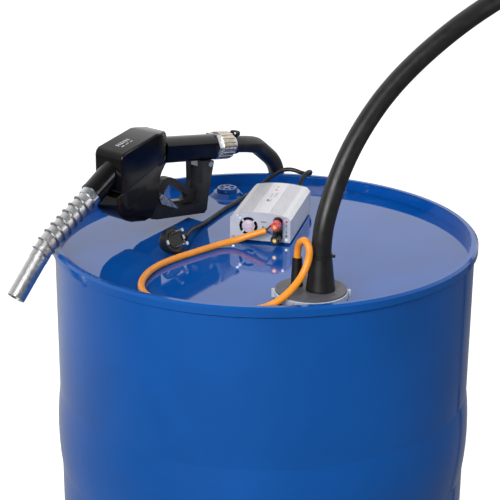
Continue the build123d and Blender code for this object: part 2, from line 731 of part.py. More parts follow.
with BuildPart() as psu_case:
    with BuildSketch(psu_plane.offset(-PSU_PLATE)):
        with BuildLine():
            psu_outline()
        make_face()
        with BuildLine(mode=Mode.PRIVATE) as cavity:
            psu_outline(WALL)
        make_face(cavity.edges(), mode=Mode.SUBTRACT)
        for height in range(4, EDGE_TALL - 1, FIN_PITCH):
            with Locations((0, height), (PSU_WIDE, height)):
                Rectangle(2, 1.3, mode=Mode.SUBTRACT)
        for low, high in RIB_BANDS:
            for across in range(low, high + 1, 2):
                rise = PSU_TALL - 4 * ((across - PSU_WIDE / 2) / (PSU_WIDE / 2 - SHOULDER)) ** 2
                with Locations((across, rise)):
                    Rectangle(0.9, 1.4, mode=Mode.SUBTRACT)
    extrude(amount=-(PSU_LONG - 2 * PSU_PLATE))
keep(psu_case, "psu_case")

FRONT_SCREWS = ((11, 35), (75.4, 35), (5, 4), (80, 4))
FAN_SCREWS = ((14.5, 31), (37.5, 8.5))
REAR_SCREWS = ((11, 35), (74, 35), (5, 4), (80, 4))
SCREW_R = 1.2
LED_AT = (47, 20)

with BuildPart() as psu_front_plate:
    with BuildSketch(psu_plane):
        with BuildLine():
            psu_outline()
        make_face()
        with Locations(FAN_AT):
            Circle(13, mode=Mode.SUBTRACT)
            Circle(9)
            Rectangle(28, 2.6, rotation=45)
            Rectangle(28, 2.6, rotation=-45)
        with Locations(*FRONT_SCREWS, *FAN_SCREWS):
            Circle(SCREW_R, mode=Mode.SUBTRACT)
        with Locations(LED_AT):
            Circle(1.6, mode=Mode.SUBTRACT)
        with Locations(*[(POST_U, height) for height in POST_HEIGHTS.values()]):
            Circle(STUD_R, mode=Mode.SUBTRACT)
    extrude(amount=-PSU_PLATE)
keep(psu_front_plate, "psu_front_plate")

with BuildPart() as psu_rear_plate:
    with BuildSketch(psu_plane.offset(PSU_PLATE - PSU_LONG)):
        with BuildLine():
            psu_outline()
        make_face()
        with Locations(*REAR_SCREWS):
            Circle(SCREW_R, mode=Mode.SUBTRACT)
        with Locations(GLAND_AT):
            Circle(5, mode=Mode.SUBTRACT)
    extrude(amount=-PSU_PLATE)
keep(psu_rear_plate, "psu_rear_plate")

with BuildPart() as psu_screws:
    for spot in (*FRONT_SCREWS, *FAN_SCREWS):
        seat = Plane(origin=on_psu(spot[0], 0, spot[1]), z_dir=-psu_back)
        disc(seat, 2, 1.1)
        disc(seat.offset(-PSU_PLATE), SCREW_R, PSU_PLATE)
    for spot in REAR_SCREWS:
        seat = Plane(origin=on_psu(spot[0], PSU_LONG, spot[1]), z_dir=psu_back)
        disc(seat, 2, 1.1)
        disc(seat.offset(-PSU_PLATE), SCREW_R, PSU_PLATE)
keep(psu_screws, "psu_screws")

with BuildPart() as psu_feet:
    for across in (8, PSU_WIDE - 8):
        for depth in (10, PSU_LONG - 10):
            spot = on_psu(across, depth, 0)
            disc(upright((spot.X, spot.Y), HEAD_Z), 4.2, PSU_CORNER[2] - HEAD_Z)
keep(psu_feet, "psu_feet")

with BuildPart() as power_led:
    disc(Plane(origin=on_psu(LED_AT[0], PSU_PLATE, LED_AT[1]), z_dir=-psu_back), 1.6, PSU_PLATE + 1)
keep(power_led, "power_led")

FAN_HUB_R = 8.4
fan_plane = Plane(origin=on_psu(FAN_AT[0], PSU_PLATE, FAN_AT[1]), x_dir=psu_across, z_dir=psu_back)

with BuildPart() as fan_frame:
    with BuildSketch(fan_plane):
        RectangleRounded(30, 30, 3)
        Circle(13.8, mode=Mode.SUBTRACT)
    extrude(amount=10)
    with BuildSketch(fan_plane.offset(9)):
        Circle(FAN_HUB_R)
        Rectangle(28.4, 2.4)
        Rectangle(2.4, 28.4)
    extrude(amount=1)
    disc(fan_plane.offset(3), 1.5, 6)
keep(fan_frame, "fan_frame")

with BuildPart() as fan_rotor:
    disc(fan_plane.offset(1.2), FAN_HUB_R, 7.2)
    with BuildSketch(fan_plane.offset(1.8)):
        with PolarLocations(0, 7):
            with Locations(Location((10, 0, 0), 35)):
                Rectangle(7, 1.4)
        Circle(13, mode=Mode.INTERSECT)
    extrude(amount=6)
    drill(fan_plane.offset(2.6), 1.5 + RUNNING, 8)
keep(fan_rotor, "fan_rotor")

board_plane = Plane(origin=on_psu(PSU_WIDE / 2, PSU_LONG / 2 + 4, 0), x_dir=psu_across, z_dir=(0, 0, 1))
BOARD_PARTS = (
    ((-18, 20, 8), (30, 26, 22)), ((20, 26, 8), (16, 30, 14)), ((22, -14, 8), (24, 18, 16)),
    ((-22, -26, 8), (12, 20, 18)),
)

with BuildPart() as circuit_board:
    with BuildSketch(board_plane.offset(6)):
        Rectangle(76, 120)
    extrude(amount=2)
    with BuildSketch(board_plane.offset(WALL)):
        with GridLocations(66, 108, 2, 2):
            Circle(2.2)
    extrude(amount=6 - WALL)
    for (across, depth, height), size in BOARD_PARTS:
        with BuildSketch(board_plane.offset(height)):
            with Locations((across, depth)):
                Rectangle(size[0], size[1])
        extrude(amount=size[2])
    with BuildSketch(board_plane.offset(8)):
        with Locations((0, -34), (10, -44), (-4, -52)):
            Circle(5)
    extrude(amount=18)
keep(circuit_board, "circuit_board")

TERMINAL_CENTRE = (67.8, 19.2)

with BuildPart() as terminal_plate:
    with BuildSketch(psu_plane):
        with Locations(TERMINAL_CENTRE):
            SlotOverall(35, 13.4, rotation=90)
        with Locations(*[(POST_U, height) for height in POST_HEIGHTS.values()]):
            Circle(STUD_R, mode=Mode.SUBTRACT)
    extrude(amount=4)
keep(terminal_plate, "terminal_plate")

KNOB_START = 6.5
KNOB_LONG = 15
KNOB_R = 6.3

with BuildPart() as terminal_studs:
    for height in POST_HEIGHTS.values():
        disc(Plane(origin=on_psu(POST_U, 6, height), z_dir=-psu_back), STUD_R, 28.5)
keep(terminal_studs, "terminal_studs")

for knob_name, height in POST_HEIGHTS.items():
    knob_plane = Plane(origin=on_psu(POST_U, -KNOB_START, height), x_dir=psu_across, z_dir=-psu_back)
    with BuildPart() as knob:
        with BuildSketch(knob_plane):
            Circle(KNOB_R)
            with PolarLocations(KNOB_R + 0.4, 12):
                Circle(0.9, mode=Mode.SUBTRACT)
        extrude(amount=KNOB_LONG - 1.5)
        taper(knob_plane.offset(KNOB_LONG - 1.5), KNOB_R - 0.5, KNOB_R - 1.6, 1.5)
        drill(knob_plane, STUD_R + RUNNING, KNOB_LONG)
    keep(knob, knob_name)

CORE_ROUTES = (
    ((55.6, -15.4, 22.6), (57.5, -10.5, 24.5), (60.2, -5.2, 27), (64.9, -5.2, 28.4)),
    ((55.2, -15.4, 19.8), (57.3, -10.2, 17), (60, -5.2, 12.5), (64.9, -5.2, 9.4)),
)

with BuildPart() as core_wires:
    for route in CORE_ROUTES:
        with BuildLine() as core_line:
            FilletPolyline(*[on_psu(*point) for point in route], radius=3)
        with BuildSketch(line_plane(core_line.line)):
            Circle(CORE_R)
        sweep(path=core_line.line)
keep(core_wires, "core_wires")

RELIEF_LONG = 20
relief_plane = Plane(origin=on_psu(GLAND_AT[0], PSU_LONG - 3, GLAND_AT[1]), z_dir=psu_back)

with BuildPart() as cord_gland:
    disc(relief_plane, 5, 3)
    disc(relief_plane.offset(3), 6.6, 4)
    taper(relief_plane.offset(7), 5.6, 4.1, RELIEF_LONG - 4)
keep(cord_gland, "cord_gland")

# ---------------------------------------------------------------- mains plug
exit_plane = Plane(origin=plug_plane.offset(-11.5).origin, z_dir=PLUG_EXIT)

with BuildPart() as plug_body:
    disc(plug_plane.offset(-6), 18.5, 6)
    taper(plug_plane.offset(-22), 12, 18, 16)
    taper(exit_plane.offset(6), 8.5, 4.6, 27)
keep(plug_body, "plug_body")

with BuildPart() as plug_contacts:
    for rise in (-9.5, 9.5):
        with Locations(plug_plane):
            with Locations((0, rise, 0)):
                Cylinder(2.4, 19, align=BASE)
    for reach in (-15.8, 15.8):
        with Locations(plug_plane):
            with Locations((reach, 0, 0)):
                Box(4, 5.5, 1.2, align=BASE)
keep(plug_contacts, "plug_contacts")
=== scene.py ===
from math import cos, pi, radians, sin

import bmesh
import bpy
from mathutils import Matrix, Vector


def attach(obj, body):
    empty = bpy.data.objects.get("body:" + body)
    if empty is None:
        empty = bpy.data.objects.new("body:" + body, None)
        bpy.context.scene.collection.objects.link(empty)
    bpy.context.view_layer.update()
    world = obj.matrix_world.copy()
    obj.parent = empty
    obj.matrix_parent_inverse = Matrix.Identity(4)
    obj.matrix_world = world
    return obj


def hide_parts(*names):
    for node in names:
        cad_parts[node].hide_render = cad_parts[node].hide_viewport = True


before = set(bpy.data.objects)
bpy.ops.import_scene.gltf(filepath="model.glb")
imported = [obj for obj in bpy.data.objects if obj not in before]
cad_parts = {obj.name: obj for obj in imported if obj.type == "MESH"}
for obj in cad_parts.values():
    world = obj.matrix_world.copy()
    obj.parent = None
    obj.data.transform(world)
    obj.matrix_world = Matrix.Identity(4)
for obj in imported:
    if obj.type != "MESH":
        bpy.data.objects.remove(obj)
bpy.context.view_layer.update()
MM = 0.001

# ---------------------------------------------------------------- places shared with the CAD, in millimetres
PSU_CORNER = (-48.2, 4.9, 867)
PSU_TURN = -11.99
PSU_TALL = 40.5
FAN_AT = (26, 20)
NOZZLE_AT = (-278.2, -90.4, 862.6)
NOZZLE_TURN = 49.5
PLUG_FACE = (-120, -57, 885)
PLUG_PINS = (0.70, -0.55, 0.454)
PLUG_EXIT = (0.617, 0.787, 0)

HOSE_DIAMETER = 25
CABLE_DIAMETER = 9
MAINS_DIAMETER = 6.5
CORE_DIAMETER = 2.2

HOSE_ROUTE = (
    (69.5, -225, 927.5), (69.5, -225.2, 950), (77, -219, 985), (92, -207, 1030), (116, -188, 1075),
    (150, -167, 1120), (195, -150, 1163), (250, -130, 1204), (320, -95, 1240), (383, -52, 1247),
    (432, 5, 1228), (462, 60, 1180), (476, 100, 1110), (482, 125, 1020), (486, 143, 880),
    (484, 155, 660), (480, 163, 420), (474, 172, 230), (472, 174, 137), (462, 216, 58),
    (441, 292, 12.8), (405, 375, 12.5), (345, 450, 12.5), (260, 510, 12.5), (155, 550, 12.5),
    (40, 562, 12.5), (-70, 553, 12.5), (-150, 520, 12.5), (-202, 468, 12.5), (-218, 408, 12.5),
    (-197, 357, 12.5), (-150, 331, 12.5), (-92, 323, 12.9), (-25, 320, 58), (18, 320, 137),
    (20, 321, 240), (21, 322, 420), (20.5, 322, 600), (20, 320, 740),
    (18.5, 329, 835), (17.5, 303, 892), (-8.4, 248, 930.5), (-19.5, 212.5, 948.6), (-54.4, 171.7, 956.6),
)
PUMP_CABLE_ROUTE = (
    (2, -22, 888), (-20, -19, 880), (-38, -16, 872), (-60, -24, 868.6), (-90, -55, 868.6),
    (-124, -90, 868.6), (-147, -127, 868.6), (-157, -172, 868.6), (-153, -210, 868.6),
    (-136, -239, 868.6), (-105, -256, 868.6), (-65, -264, 868.6), (-28, -268, 868.6),
    (-2, -267, 869.2), (16, -264, 877), (32, -257, 889), (46, -246, 904), (53.5, -239, 921),
    (55, -237, 936), (50, -231, 946), (43.5, -220, 940), (40.7, -212.4, 928), (40.5, -212, 917),
)
MAINS_ROUTE = (
    (45.65, 158.1, 886), (47.9, 168.5, 888.5), (54, 180, 900.5), (61.6, 192, 909.2), (68.7, 207, 907),
    (67, 222, 897.5), (56.2, 234, 896.1), (39.8, 240, 901.1), (21.9, 240, 898.4), (4.3, 233, 885.6),
    (-15.1, 216, 873.7), (-36, 185, 867.4), (-56, 148, 867.5), (-72, 108, 867.4), (-86, 70, 867.4),
    (-98, 40, 870), (-105, 8, 876), (-108, -24, 879.4),
)
CORE_ROUTES = {
    "brown_core": ((55.6, -15.4, 22.6), (57.5, -10.5, 24.5), (60.2, -5.2, 27), (64.9, -5.2, 28.4)),
    "blue_core": ((55.2, -15.4, 19.8), (57.3, -10.2, 17), (60, -5.2, 12.5), (64.9, -5.2, 9.4)),
}


def axes(origin, x_dir, z_dir):
    """A matrix with its origin in millimetres and its z along z_dir, scaled so that it takes millimetres."""
    z = Vector(z_dir).normalized()
    x = (Vector(x_dir) - z * z.dot(Vector(x_dir))).normalized()
    y = z.cross(x)
    place = Matrix((x, y, z)).transposed().to_4x4()
    place.translation = Vector(origin) * MM
    return place @ Matrix.Scale(MM, 4)


nozzle_along = Vector((cos(radians(NOZZLE_TURN)), sin(radians(NOZZLE_TURN)), 0))
nozzle_near = Vector((sin(radians(NOZZLE_TURN)), -cos(radians(NOZZLE_TURN)), 0))
nozzle_side = axes(NOZZLE_AT, nozzle_along, nozzle_near)
psu_across = Vector((cos(radians(PSU_TURN)), sin(radians(PSU_TURN)), 0))
psu_back = Vector((-sin(radians(PSU_TURN)), cos(radians(PSU_TURN)), 0))
psu_front = axes(PSU_CORNER, psu_across, -psu_back)
plug_place = axes(PLUG_FACE, PLUG_EXIT, PLUG_PINS)


# ---------------------------------------------------------------- camera, solved from the photo
# Metres and radians, with the lens and its sensor in millimetres.
CAMERA_AT = (0, -1.9, 1.51109)
CAMERA_YAW = -0.010661349
CAMERA_PITCH = 0.333922219
CAMERA_ROLL = 0.008005628
CAMERA_LENS = 104.35
CAMERA_SENSOR = 36
CAMERA_REACH = 50


def add_camera():
    """Looks slightly down on the drum's head from the front."""
    ahead = Vector((
        sin(CAMERA_YAW) * cos(CAMERA_PITCH), cos(CAMERA_YAW) * cos(CAMERA_PITCH), -sin(CAMERA_PITCH),
    ))
    level = Vector((cos(CAMERA_YAW), -sin(CAMERA_YAW), 0))
    over = level.cross(ahead)
    right = level * cos(CAMERA_ROLL) + over * sin(CAMERA_ROLL)
    up = over * cos(CAMERA_ROLL) - level * sin(CAMERA_ROLL)
    data = bpy.data.cameras.new("view_camera")
    data.lens = CAMERA_LENS
    data.sensor_width = CAMERA_SENSOR
    data.sensor_fit = "HORIZONTAL"
    data.clip_end = CAMERA_REACH
    camera = bpy.data.objects.new("view_camera", data)
    camera.matrix_world = Matrix.Translation(CAMERA_AT) @ Matrix((right, up, -ahead)).transposed().to_4x4()
    bpy.context.scene.collection.objects.link(camera)
    bpy.context.scene.camera = camera


add_camera()


# ---------------------------------------------------------------- cords
def add_line(name, route, diameter):
    """A smooth round line along a route of millimetre points."""
    data = bpy.data.curves.new(name, "CURVE")
    data.dimensions = "3D"
    data.resolution_u = 10
    data.bevel_depth = 1
    data.bevel_resolution = 8
    data.use_fill_caps = True
    spline = data.splines.new("NURBS")
    spline.points.add(len(route) - 1)
    for point, spot in zip(spline.points, route):
        point.co = (*[value * MM for value in spot], 1)
        point.radius = diameter / 2 * MM
    spline.order_u = 3
    spline.use_endpoint_u = True
    piece = bpy.data.objects.new(name, data)
    bpy.context.scene.collection.objects.link(piece)
    return piece


hose = add_line("delivery_hose", HOSE_ROUTE, HOSE_DIAMETER)
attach(hose, "drum")
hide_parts("discharge_hose")

cable = add_line("orange_cable", PUMP_CABLE_ROUTE, CABLE_DIAMETER)
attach(cable, "drum")
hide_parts("pump_cable")

mains = add_line("mains_lead", MAINS_ROUTE, MAINS_DIAMETER)
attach(mains, "drum")
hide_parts("mains_cord")


# ---------------------------------------------------------------- materials
class Recipe:
    """A node material under construction, with its coordinates in metres from the piece's origin."""

    def __init__(self, name):
        self.material = bpy.data.materials.new(name)
        self.material.use_nodes = True
        self.tree = self.material.node_tree
        self.shader = self.tree.nodes["Principled BSDF"]
        self.place = self.tree.nodes.new("ShaderNodeTexCoord").outputs["Object"]

    def node(self, kind, **settings):
        """A new node with its plain settings."""
        made = self.tree.nodes.new(kind)
        for key, value in settings.items():
            setattr(made, key, value)
        return made

    def link(self, source, target):
        """Joins an output to an input."""
        self.tree.links.new(source, target)

    def stretched(self, scale):
        """The coordinates stretched by a factor along each axis."""
        mapping = self.node("ShaderNodeMapping")
        mapping.inputs["Scale"].default_value = scale
        self.link(self.place, mapping.inputs["Vector"])
        return mapping.outputs["Vector"]

    def noise(self, scale, detail=3, stretch=None):
        """A noise of so many cells a metre."""
        made = self.node("ShaderNodeTexNoise")
        made.inputs["Scale"].default_value = scale
        made.inputs["Detail"].default_value = detail
        self.link(self.stretched(stretch) if stretch else self.place, made.inputs["Vector"])
        return made.outputs["Fac"]

    def ramp(self, value, stops):
        """Turns a value into a colour or grey through the given stops."""
        made = self.node("ShaderNodeValToRGB")
        ramp = made.color_ramp
        while len(ramp.elements) < len(stops):
            ramp.elements.new(0.5)
        for element, (spot, colour) in zip(ramp.elements, stops):
            element.position = spot
            element.color = (*colour, 1)
        self.link(value, made.inputs["Fac"])
        return made.outputs["Color"]

    def colour(self, base, spread, scale, detail=3, stretch=None):
        """Base colour that drifts a little lighter and darker."""
        dark = tuple(channel * (1 - spread) for channel in base)
        light = tuple(min(1, channel * (1 + spread)) for channel in base)
        made = self.ramp(self.noise(scale, detail, stretch), ((0.3, dark), (0.7, light)))
        self.link(made, self.shader.inputs["Base Color"])

    def roughness(self, low, high, scale, detail=4, stretch=None):
        """Roughness that drifts between two values."""
        made = self.ramp(self.noise(scale, detail, stretch), ((0.3, (low,) * 3), (0.7, (high,) * 3)))
        self.link(made, self.shader.inputs["Roughness"])

    def bump(self, *layers):
        """Adds up noises of (scale, depth in millimetres, stretch) into the surface's relief."""
        normal = None
        for scale, depth, stretch in layers:
            made = self.node("ShaderNodeBump")
            made.inputs["Strength"].default_value = 1
            made.inputs["Distance"].default_value = depth * MM
            self.link(self.noise(scale, 3, stretch), made.inputs["Height"])
            if normal:
                self.link(normal, made.inputs["Normal"])
            normal = made.outputs["Normal"]
        self.link(normal, self.shader.inputs["Normal"])

    def set(self, **values):
        """Sets plain values of the shader, named with underscores for spaces."""
        for key, value in values.items():
            self.shader.inputs[key.replace("_", " ")].default_value = value


def enamel_material():
    """Glossy blue stove enamel: orange peel, slow waves of the sheet, and fine dust."""
    recipe = Recipe("blue_enamel")
    recipe.colour((0.003, 0.090, 0.38), 0.10, 7, 5)
    recipe.roughness(0.10, 0.18, 25, 6)
    recipe.bump((9, 0.10, None), (240, 0.004, None))
    recipe.set(IOR=1.5, Specular_IOR_Level=0.5)
    return recipe.material


def head_material():
    """The drum head's enamel: nearly a mirror, with faint scuffs and a rolled sheet's long waves."""
    recipe = Recipe("blue_head_enamel")
    recipe.colour((0.003, 0.088, 0.40), 0.12, 9, 6)
    recipe.roughness(0.02, 0.06, 60, 8)
    recipe.bump((6, 0.14, None), (300, 0.003, None))
    recipe.set(IOR=1.5, Specular_IOR_Level=0.5)
    return recipe.material


def metal_material(name, base, low, high, grain=None, spread=0.10, scale=60, depth=0.02, metallic=1.0):
    """A bare or plated metal with grain, drifting tone and roughness."""
    recipe = Recipe(name)
    recipe.colour(base, spread, scale, 5, grain)
    recipe.roughness(low, high, scale * 2, 5, grain)
    recipe.bump((scale * 6, depth, grain))
    recipe.set(Metallic=metallic)
    return recipe.material


def moulded_material(name, base, low, high, spread=0.15, scale=45, depth=0.02, coat=0.0, ior=1.5):
    """A moulded plastic or rubber with a fine grain and uneven gloss."""
    recipe = Recipe(name)
    recipe.colour(base, spread, scale, 4)
    recipe.roughness(low, high, scale * 1.5, 5)
    recipe.bump((scale, depth * 3, None), (900, depth, None))
    recipe.set(IOR=ior, Coat_Weight=coat, Coat_Roughness=0.08)
    return recipe.material


def hose_material():
    """Black delivery hose: cloth-wrapped rubber with a faint weave and a satin shine."""
    recipe = Recipe("hose_rubber")
    recipe.colour((0.012, 0.012, 0.013), 0.35, 40, 5)
    recipe.roughness(0.30, 0.46, 90, 5)
    recipe.bump((35, 0.12, None), (700, 0.03, (1, 1, 0.4)))
    recipe.set(IOR=1.5, Specular_IOR_Level=0.5)
    return recipe.material


def orange_material():
    """Orange polyurethane sheath, slightly mottled over its laid-up cores."""
    recipe = Recipe("orange_sheath")
    recipe.colour((1.0, 0.33, 0.02), 0.08, 120, 4)
    recipe.roughness(0.26, 0.42, 200, 4)
    recipe.bump((90, 0.10, None), (900, 0.02, None))
    recipe.set(Specular_IOR_Level=0.55)
    return recipe.material


MATERIALS = {
    "enamel": enamel_material(),
    "head": head_material(),
    "hose": hose_material(),
    "orange": orange_material(),
    "zinc": metal_material("bright_zinc", (0.70, 0.74, 0.78), 0.20, 0.32, depth=0.006),
    "ring": metal_material("matt_zinc", (0.60, 0.66, 0.72), 0.42, 0.60, spread=0.14, scale=90, metallic=0.5),
    "galvanised": metal_material(
        "galvanised", (0.34, 0.35, 0.38), 0.22, 0.42, spread=0.30, scale=110, depth=0.05,
    ),
    "cast": metal_material(
        "cast_aluminium", (0.66, 0.66, 0.66), 0.30, 0.46, spread=0.12, scale=140, depth=0.05,
    ),
    "case": metal_material(
        "anodised_case", (0.80, 0.80, 0.83), 0.34, 0.48, (1, 0.12, 1), 0.05, 260, 0.01, 0.7,
    ),
    "plate": moulded_material("painted_plate", (0.50, 0.53, 0.62), 0.34, 0.46, 0.04, 120, 0.006),
    "brass": metal_material("brass", (0.62, 0.40, 0.12), 0.24, 0.40, spread=0.14, scale=160),
    "nut": metal_material("worn_plating", (0.70, 0.63, 0.52), 0.16, 0.34, spread=0.26, scale=150, depth=0.06),
    "steel": metal_material("steel", (0.55, 0.56, 0.58), 0.22, 0.38),
    "gloss_black": moulded_material(
        "gloss_black", (0.004, 0.004, 0.0045), 0.08, 0.16, 0.3, 30, 0.012, ior=1.42,
    ),
    "satin_black": moulded_material("satin_black", (0.014, 0.014, 0.016), 0.28, 0.42, 0.3, 60, 0.03),
    "black_rubber": moulded_material("black_rubber", (0.006, 0.006, 0.006), 0.36, 0.5, 0.3, 60, 0.03),
    "disc": moulded_material("grey_disc", (0.105, 0.105, 0.125), 0.45, 0.62, 0.14, 150, 0.02),
    "gasket": moulded_material("gasket_rubber", (0.010, 0.010, 0.010), 0.5, 0.7, 0.3, 90, 0.04),
    "red": moulded_material("red_plastic", (0.72, 0.006, 0.020), 0.10, 0.22, 0.12, 120, 0.02, 0.5),
    "green": moulded_material("green_lens", (0.01, 0.30, 0.12), 0.08, 0.16, 0.2, 300, 0.01, 0.6),
    "board": moulded_material("board_green", (0.02, 0.14, 0.05), 0.3, 0.5, 0.25, 300, 0.02),
    "brown": moulded_material("brown_core", (0.09, 0.035, 0.015), 0.25, 0.4, 0.15, 200, 0.01),
    "blue": moulded_material("blue_core", (0.02, 0.16, 0.55), 0.25, 0.4, 0.15, 200, 0.01),
    "label": moulded_material("fan_label", (0.62, 0.50, 0.64), 0.3, 0.5, 0.25, 260, 0.005),
    "print": moulded_material("dark_print", (0.05, 0.05, 0.06), 0.4, 0.6, 0.3, 500, 0.004),
    "red_print": moulded_material("red_print", (0.75, 0.02, 0.03), 0.4, 0.6, 0.2, 500, 0.004),
    "bright_print": moulded_material("bright_print", (0.62, 0.64, 0.68), 0.3, 0.5, 0.25, 500, 0.004),
    "pale_print": moulded_material("pale_print", (0.42, 0.43, 0.45), 0.4, 0.6, 0.25, 500, 0.004),
    "impeller": moulded_material("grey_moulding", (0.12, 0.12, 0.125), 0.35, 0.5, 0.15, 100, 0.02),
}

NODE_FINISH = {
    "enamel": ("drum_shell", "drum_bottom", "vent_plug"),
    "head": ("drum_head", "vent_bung_flange", "pump_bung_flange"),
    "zinc": ("plug_contacts", "hose_tail", "inlet_hex", "hold_latch", "spout_collar"),
    "ring": ("adapter_flange",),
    "galvanised": ("spout_spring",),
    "cast": ("spout_tube", "guard_lug"),
    "case": ("psu_case",),
    "plate": ("psu_front_plate", "psu_rear_plate"),
    "brass": ("terminal_studs",),
    "nut": ("swivel_nut",),
    "steel": ("psu_screws", "nozzle_pins", "valve_stem", "pump_casing", "pump_head", "pump_strainer",
              "motor_stator", "motor_rotor", "shaft_bearings"),
    "gloss_black": (
        "handle_grip", "nozzle_body", "nozzle_cover", "nozzle_nose", "terminal_plate", "black_knob",
    ),
    "satin_black": ("trigger_guard", "trigger_lever", "fan_frame", "fan_rotor", "hose_clamp", "cable_ties"),
    "black_rubber": ("hose_boot", "cable_boot", "cord_gland", "plug_body", "psu_feet"),
    "hose": ("riser_pipe",),
    "orange": ("inner_cable",),
    "disc": ("adapter_disc",),
    "gasket": ("adapter_gasket", "vent_gasket"),
    "red": ("red_knob",),
    "green": ("power_led",),
    "board": ("circuit_board",),
    "impeller": ("impeller", "volute_plate"),
}


def wear(piece, finish):
    """Gives a piece its one material."""
    piece.data.materials.clear()
    piece.data.materials.append(MATERIALS[finish])


for finish, nodes in NODE_FINISH.items():
    for node in nodes:
        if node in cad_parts:
            wear(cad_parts[node], finish)
wear(hose, "hose")
wear(cable, "orange")
wear(mains, "black_rubber")


# ---------------------------------------------------------------- mesh helpers
CREASE_ANGLE = 35
BEVEL_ANGLE = 30
BEVEL_SEGMENTS = 4
CORNER_STEPS = 3


def link_mesh(name, mesh_builder, place, finish, body):
    """Turns a bmesh in millimetres into a piece that rides on a body."""
    bmesh.ops.remove_doubles(mesh_builder, verts=mesh_builder.verts, dist=0.001)
    bmesh.ops.recalc_face_normals(mesh_builder, faces=mesh_builder.faces)
    mesh_builder.transform(place)
    for face in mesh_builder.faces:
        face.smooth = True
    for edge in mesh_builder.edges:
        edge.smooth = not (len(edge.link_faces) == 2 and edge.calc_face_angle() > radians(CREASE_ANGLE))
    data = bpy.data.meshes.new(name)
    mesh_builder.to_mesh(data)
    mesh_builder.free()
    piece = bpy.data.objects.new(name, data)
    bpy.context.scene.collection.objects.link(piece)
    wear(piece, finish)
    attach(piece, body)
    return piece


def round_edges(piece, width):
    """Rounds a piece's sharp edges, in millimetres."""
    bevel = piece.modifiers.new("edges", "BEVEL")
    bevel.width = width * MM
    bevel.segments = BEVEL_SEGMENTS
    bevel.limit_method = "ANGLE"
    bevel.angle_limit = radians(BEVEL_ANGLE)
    bevel.harden_normals = True


def prism(outline, low, high):
    """An outline in a place's x and y, extruded between two heights."""
    made = bmesh.new()
    foot = [made.verts.new((x, y, low)) for x, y in outline]
    top = [made.verts.new((x, y, high)) for x, y in outline]
    made.faces.new(reversed(foot))
    made.faces.new(top)
    count = len(outline)
    for index in range(count):
        after = (index + 1) % count
        made.faces.new((foot[index], foot[after], top[after], top[index]))
    return made


def turned(profile, steps=48):
    """A closed profile of (radius, height) points turned about the place's z axis."""
    made = bmesh.new()
    rings = []
    for step in range(steps):
        turn = 2 * pi * step / steps
        rings.append([made.verts.new((r * cos(turn), r * sin(turn), h)) for r, h in profile])
    count = len(profile)
    for step in range(steps):
        ring, after = rings[step], rings[(step + 1) % steps]
        for index in range(count):
            other = (index + 1) % count
            made.faces.new((ring[index], after[index], after[other], ring[other]))
    return made


def rounded(width, height, radius, across, rise):
    """The outline of a rectangle with round corners about a middle point."""
    points = []
    for corner_x, corner_y, start in ((1, 1, 0), (-1, 1, 90), (-1, -1, 180), (1, -1, 270)):
        for step in range(CORNER_STEPS + 1):
            turn = radians(start + 90 * step / CORNER_STEPS)
            points.append((
                across + corner_x * (width / 2 - radius) + radius * cos(turn),
                rise + corner_y * (height / 2 - radius) + radius * sin(turn),
            ))
    return points


# ---------------------------------------------------------------- core wires
for name, route in CORE_ROUTES.items():
    spots = [(psu_front @ Vector((u, z, -v))) / MM for u, v, z in route]
    core = add_line(name, spots, CORE_DIAMETER)
    wear(core, name.split("_")[0])
    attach(core, "drum")
    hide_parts("core_wires")

# ---------------------------------------------------------------- plug
plug = link_mesh(
    "plug_housing",
    turned((
        (0.01, 0), (12.0, 0), (12.4, -1.2), (16.6, -1.2), (17.4, 0), (18.4, -0.8), (18.6, -4.5), (17.8, -6.2),
        (17.9, -8.0), (15.5, -15), (12.6, -20), (9.5, -22.2), (0.01, -22.4),
    )),
    plug_place, "black_rubber", "drum",
)
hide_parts("plug_body")
plug_tail = link_mesh(
    "plug_tail",
    turned((
        (0.01, 2), (9.6, 2), (9.2, 10), (8.2, 13), (8.2, 15), (7.0, 15.2), (7.0, 17), (7.6, 17.2), (7.4, 19),
        (6.4, 19.2), (6.3, 21), (7.0, 21.2), (6.8, 23), (5.8, 23.2), (5.7, 25), (6.3, 25.2), (6.1, 27),
        (5.2, 27.2), (5.1, 29), (5.6, 29.2), (5.2, 33), (3.4, 34), (0.01, 34),
    )),
    axes((plug_place @ Vector((0, 0, -11.5))) / MM, PLUG_PINS, PLUG_EXIT), "black_rubber", "drum",
)
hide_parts("plug_body")

# ---------------------------------------------------------------- nozzle
# Half widths and edge rounds of the two housings, then where and at what turn their rear corners are cut.
COVER_HALF = 27
COVER_ROUND = 3.2
BODY_HALF = 21
BODY_ROUND = 2.6
FLANK_END = 176
FLANK_TURN = 61
COVER_OUTLINE = (
    (101, 76), (101, 124), (102.5, 129.5), (107, 133.5), (168, 148.2), (190, 147.1), (195.5, 145),
    (199.5, 141.5), (202.1, 136), (199, 114.6),
)
BODY_OUTLINE = (
    (96.2, 72), (97, 56), (99.5, 48), (105, 41), (112, 36), (122, 31.6), (149, 27), (159.8, 29),
    (177.8, 51), (178.2, 63), (180, 84), (183.5, 91), (188, 96.5), (196.5, 98.3), (198.6, 112.4),
)


def narrowed(made):
    """Cuts the rear corners of a housing at upright slants that start at FLANK_END on the cover's sides."""
    turn = radians(FLANK_TURN)
    for side in (-1, 1):
        cut = bmesh.ops.bisect_plane(
            made, geom=made.verts[:] + made.edges[:] + made.faces[:],
            plane_co=(FLANK_END, 0, side * COVER_HALF), plane_no=(cos(turn), 0, side * sin(turn)),
            clear_outer=True,
        )
        rim = [item for item in cut["geom_cut"] if isinstance(item, bmesh.types.BMEdge)]
        bmesh.ops.contextual_create(made, geom=rim)
    return made


